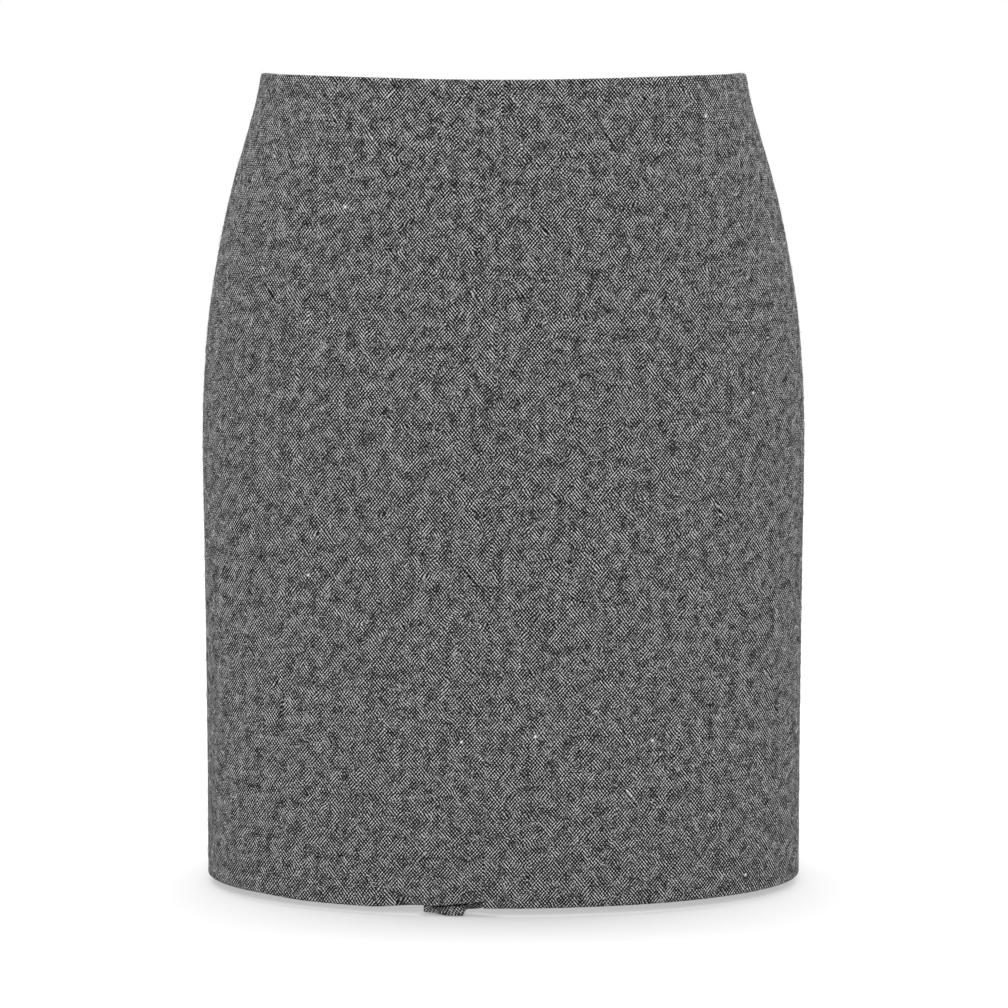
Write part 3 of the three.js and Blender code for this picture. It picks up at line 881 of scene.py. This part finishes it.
def weave_check(tree, place):
    """The second output is the check's strength."""
    threads, clear = slipped_threads(tree, place)
    share = wandering(tree, place, LEAN)
    rest = calculate(tree, "SUBTRACT", 1.0, share)
    check = 0.0
    for operation, part in (("ADD", share), ("SUBTRACT", rest)):
        both = calculate(tree, operation, threads[0], threads[1])
        wave = calculate(tree, "COSINE", calculate(tree, "MULTIPLY", both, math.pi))
        check = calculate(tree, "MULTIPLY_ADD", wave, part, check)
    strength = calculate(tree, "MULTIPLY", wandering(tree, place, STRENGTH), clear)
    return calculate(tree, "MULTIPLY", check, strength), strength


# %% Tweed
def tweed():
    """Woollen yarn is matt, so it has a very low specular level and a high roughness. The soft
    lighter line at its outline comes from the surface fibres and their painted sheen, not from this
    finish."""
    material, tree = new_material("salt_and_pepper_wool_tweed")
    place = add(tree, "UVMap", uv_map=CLOTH_MAP).outputs[0]
    check, strength = weave_check(tree, place)
    # A weak check is a paler mix of the two yarns, so that a faded place isn't a dark one
    lift = TWEED["lift"]
    middle = calculate(tree, "MULTIPLY_ADD", strength, -lift, TWEED["middle"] + lift)
    tone = calculate(tree, "MULTIPLY_ADD", check, TWEED["check"], middle)
    for kind in UNEVEN.values():
        spots = flat_noise(tree, place, kind["size"], kind["detail"])
        level = calculate(tree, "SUBTRACT", spots, 0.5)
        tone = calculate(tree, "MULTIPLY_ADD", level, kind["strength"], tone)
    tone = calculate(tree, "MAXIMUM", tone, 0.0, use_clamp=True)
    light = calculate(tree, "POWER", tone, TWEED["contrast"])
    yarn = mixed(tree, light, linear(TWEED["black"]), linear(TWEED["white"]))
    cells = {"Vector": place, "Scale": 1 / (NEP["apart"] * MM)}
    spot = add(tree, "TexVoronoi", cells, voronoi_dimensions="2D").outputs["Distance"]
    limits = {"From Min": NEP["size"] / NEP["apart"], "From Max": 0.0, "To Max": NEP["cover"]}
    nep = rescaled(tree, spot, limits, "SMOOTHSTEP")
    bump = add(tree, "Bump", {"Height": tone, "Strength": 0.4, "Distance": 0.3 * MM})
    shade(tree, {
        "Base Color": mixed(tree, nep, yarn, linear(TWEED["nep"])),
        "Roughness": 0.95, "Specular IOR Level": 0.05, "Normal": bump.outputs[0],
    })
    return material


tweed_cloth = tweed()
print("finish:", tweed_cloth.name)

# %% [markdown]
# ## Fibre, tape, coil and enamel
#
# The surface fibres are the same wool, some pale and some grey, painted paler than the yarns as
# painted sheen. The tapes are woven polyester with a fine herringbone rib, with painted shade in
# its grooves, the coil is nylon monofilament, which is smooth and a little glossy, and the zinc
# castings are enamelled grey, satin over a faintly uneven surface.

# %% Small finishes
TAPE_RIB = {"apart": 0.6, "turns_back_after": 3.0}


def wool_fibre():
    """Single fibres scatter light all round, so they look paler than the cloth behind them. Their
    grey and off-white are partly the wool's own colours and partly painted sheen: painted paler
    than the yarns to stand for that light.
    """
    material, tree = new_material("loose_wool_fibre_painted_sheen")
    share = rescaled(tree, solid_noise(tree, 4.0), {"From Min": 0.35, "From Max": 0.65})
    # Painted sheen: both fibre colours are painted paler than the wool, for the light that fibres
    # scatter
    shade(tree, {
        "Base Color": mixed(tree, share, linear("#8c8b89"), linear("#dedcd7")),
        "Roughness": 0.7, "Specular IOR Level": 0.3, "Sheen Weight": 0.3,
    })
    return material


def zip_tape_weave():
    """Ribs that slant one way and then the other across the tape: the sine of the place along the
    tape plus a zigzag of the place across it. The colour follows the same sine, darker in each
    groove and lighter on each crest: painted shade of the ribs."""
    material, tree = new_material("woven_polyester_tape_painted_rib_shade")
    place = add(tree, "UVMap", uv_map=CLOTH_MAP).outputs[0]
    axes = add(tree, "SeparateXYZ", {0: place}).outputs
    zigzag = calculate(tree, "PINGPONG", axes[0], TAPE_RIB["turns_back_after"] * MM)
    slant = calculate(tree, "ADD", axes[1], zigzag)
    turns = calculate(tree, "MULTIPLY", slant, 2 * math.pi / (TAPE_RIB["apart"] * MM))
    rib = calculate(tree, "SINE", turns)
    # Painted shade: the colour darkens in the rib grooves, as the bump height does
    share = rescaled(tree, rib, {"From Min": -1.0})
    bump = add(tree, "Bump", {"Height": rib, "Strength": 0.6, "Distance": 0.1 * MM})
    shade(tree, {
        "Base Color": mixed(tree, share, linear("#1c1c1e"), linear("#38383b")),
        "Roughness": 0.8, "Specular IOR Level": 0.3, "Normal": bump.outputs[0],
    })
    return material


def nylon():
    """Monofilament: smooth, dark, with a clear highlight along each loop."""
    material, tree = new_material("nylon_monofilament")
    colour = mixed(tree, solid_noise(tree, 6.0), linear("#202124"), linear("#37383b"))
    shade(tree, {"Base Color": colour, "Roughness": 0.35, "IOR": 1.53})
    return material


def enamelled_zinc():
    """Stoved enamel over a casting: grey, satin, a little worn to a lighter tone."""
    material, tree = new_material("grey_enamelled_zinc")
    worn = solid_noise(tree, 2.5, 4.0)
    share = rescaled(tree, worn, {"From Min": 0.45, "From Max": 0.75})
    bump = add(tree, "Bump", {"Height": worn, "Strength": 0.15, "Distance": 0.05 * MM})
    shade(tree, {
        "Base Color": mixed(tree, share, linear("#6c6d70"), linear("#8f9093")),
        "Metallic": 0.35,
        "Roughness": rescaled(tree, worn, {"To Min": 0.32, "To Max": 0.5}),
        "Normal": bump.outputs[0],
    })
    return material


finishes = {make.__name__: make() for make in (wool_fibre, zip_tape_weave, nylon, enamelled_zinc)}
print("finishes:", ", ".join(finish.name for finish in finishes.values()))

# %% [markdown]
# ## Putting the pieces on the frame
#
# Each piece gets its finish and the body that it moves with, and where it stands for an imported
# node, that node is hidden. Only the pull swings.


def dress(piece, finish, body, nodes=()):
    """Gives a piece its finish and its body, and hides the nodes that it stands for."""
    piece.data.materials.append(finish)
    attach(piece, body)
    if nodes:
        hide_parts(*nodes)


for name, piece in panels.items():
    dress(piece, tweed_cloth, "skirt", [name])
for strip in allowances.values():
    dress(strip, tweed_cloth, "skirt")
dress(underlap, tweed_cloth, "skirt", ["vent_underlap"])
for name, piece in tapes.items():
    dress(piece, finishes["zip_tape_weave"], "skirt", [name])
dress(coil, finishes["nylon"], "skirt")
for piece in fibres:
    dress(piece, finishes["wool_fibre"], "skirt")
for node, body in (("zip_slider", "skirt"), ("zip_pull_tab", "pull")):
    dress(castings[node], finishes["enamelled_zinc"], body, [node])
print("cloth pieces:", len(panels) + len(tapes) + 1)

# %% [markdown]
# ## Floor, light and camera
#
# The skirt stands on a white light table in a white room. The table glows a little, so that it
# isn't black where the skirt keeps the light off it. A white world lights the cloth evenly from
# all sides. One long soft strip high up reaches from over the skirt to well behind it: it
# brightens the table and leaves a short soft shadow in front of the hem. The camera looks a
# little down, from far enough away that the sides stay parallel. A soft box above and behind it
# makes the front a little lighter than the sides and shades the vent behind the hem.

# %% Stage
FLOOR = {"below": 0.6, "glow": 0.235, "reach": 2000.0, "lines": 9, "spots": 1000 / 3}
CAMERA = {"distance": 2350.0, "height": 41.0, "down": 7.415, "lens": 136.9, "aside": 0.3}
ROOM_WHITE = 1.0
STRIP = {"power": 46.0, "length": 2600.0, "from": 60.0, "to": 620.0, "above": 2000.0}
SOFT_BOX = {
    "power": 42.0, "size": 1600.0, "place": (0.0, -3200.0, 1600.0), "aim": (0.0, 0.0, -250.0),
}


def make_floor():
    """A glowing table just below the hem, with its middle under the near half of the strip."""
    level = cad_box[0][2] / MM - FLOOR["below"]
    across = np.linspace(-FLOOR["reach"], FLOOR["reach"], FLOOR["lines"])
    x, y = np.meshgrid(across, across + STRIP["to"] / 2, indexing="ij")
    points = np.stack([x, y, np.full_like(x, level)], axis=-1)
    faces = grid_faces(FLOOR["lines"], FLOOR["lines"])
    floor = make_mesh("light_table", points.reshape(-1, 3), faces)
    material, tree = new_material("opal_acrylic")
    spots = solid_noise(tree, FLOOR["spots"])
    shade(tree, {
        "Base Color": mixed(tree, spots, linear("#cacaca"), linear("#cdcdcd")),
        "Roughness": 1.0, "Specular IOR Level": 0.0,
        "Emission Color": (1, 1, 1, 1), "Emission Strength": FLOOR["glow"],
    })
    floor.data.materials.append(material)


def area_light(name, power, length, width):
    """A flat light of that power in watts, which shines down until it is turned."""
    lamp = bpy.data.lights.new(name, "AREA")
    lamp.energy = power
    lamp.shape = "RECTANGLE"
    lamp.size = length * MM
    lamp.size_y = width * MM
    light = bpy.data.objects.new(name, lamp)
    bpy.context.scene.collection.objects.link(light)
    return light


def light_the_room():
    """The white world, the strip over the table, and the soft box, turned to face the skirt."""
    world = bpy.data.worlds.new("white_room")
    world.use_nodes = True
    background = world.node_tree.nodes["Background"]
    background.inputs["Color"].default_value = (1, 1, 1, 1)
    background.inputs["Strength"].default_value = ROOM_WHITE
    bpy.context.scene.world = world
    strip = area_light("soft_strip", STRIP["power"], STRIP["length"], STRIP["to"] - STRIP["from"])
    strip.location = (0, (STRIP["from"] + STRIP["to"]) / 2 * MM, STRIP["above"] * MM)
    box = area_light("soft_box", SOFT_BOX["power"], SOFT_BOX["size"], SOFT_BOX["size"])
    place, aim = (mathutils.Vector(SOFT_BOX[k]) * MM for k in ("place", "aim"))
    box.location = place
    box.rotation_euler = (aim - place).to_track_quat("-Z", "Y").to_euler()


def place_camera():
    """The camera, level along x and tilted down."""
    lens = bpy.data.cameras.new("camera")
    lens.lens = CAMERA["lens"]
    camera = bpy.data.objects.new("camera", lens)
    camera.location = (CAMERA["aside"] * MM, -CAMERA["distance"] * MM, CAMERA["height"] * MM)
    camera.rotation_euler = (math.radians(90 - CAMERA["down"]), 0, 0)
    bpy.context.scene.collection.objects.link(camera)
    bpy.context.scene.camera = camera


make_floor()
light_the_room()
place_camera()
bpy.context.scene.view_settings.view_transform = "Standard"
print("camera at", [round(v, 3) for v in bpy.context.scene.camera.location])

# %% Close
print("cad box", [[round(v, 4) for v in c] for c in cad_box])
